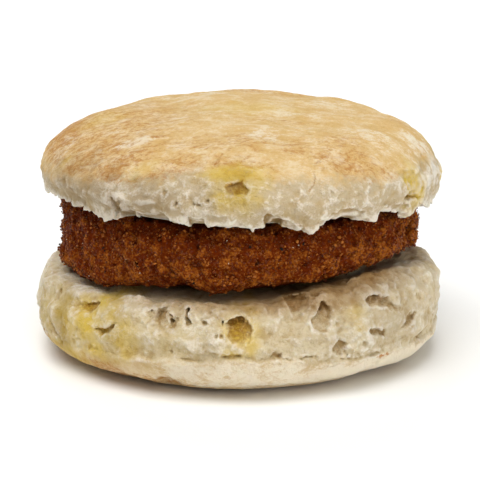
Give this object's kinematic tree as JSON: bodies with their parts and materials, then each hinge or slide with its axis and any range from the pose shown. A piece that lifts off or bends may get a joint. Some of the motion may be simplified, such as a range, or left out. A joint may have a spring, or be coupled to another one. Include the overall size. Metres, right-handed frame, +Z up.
{
  "type": "breakfast sandwich",
  "caption": "Round buttermilk biscuit split in two around a thick breaded and fried chicken patty, standing as served.",
  "frame": {"origin": "centre of the underside, on the surface that the sandwich stands on", "axes": "+Z up through the crown, -Y towards the front, +X to the right as seen from the front"},
  "size_m": [0.0936, 0.0936, 0.0553],
  "materials": {
    "pale_biscuit": "torn, flaky cream-coloured crumb with butter-yellow patches and a smooth pale crust below",
    "fried_breading": "craggy deep-fried breading, red-brown with golden crumbs, slightly oily",
    "golden_biscuit": "matte baked crust, golden brown in patches, over pale torn crumb"
  },
  "bodies": {
    "root": {"biscuit_bottom": "pale_biscuit", "chicken_patty": "fried_breading", "biscuit_top": "golden_biscuit"}
  },
  "joints": []
}
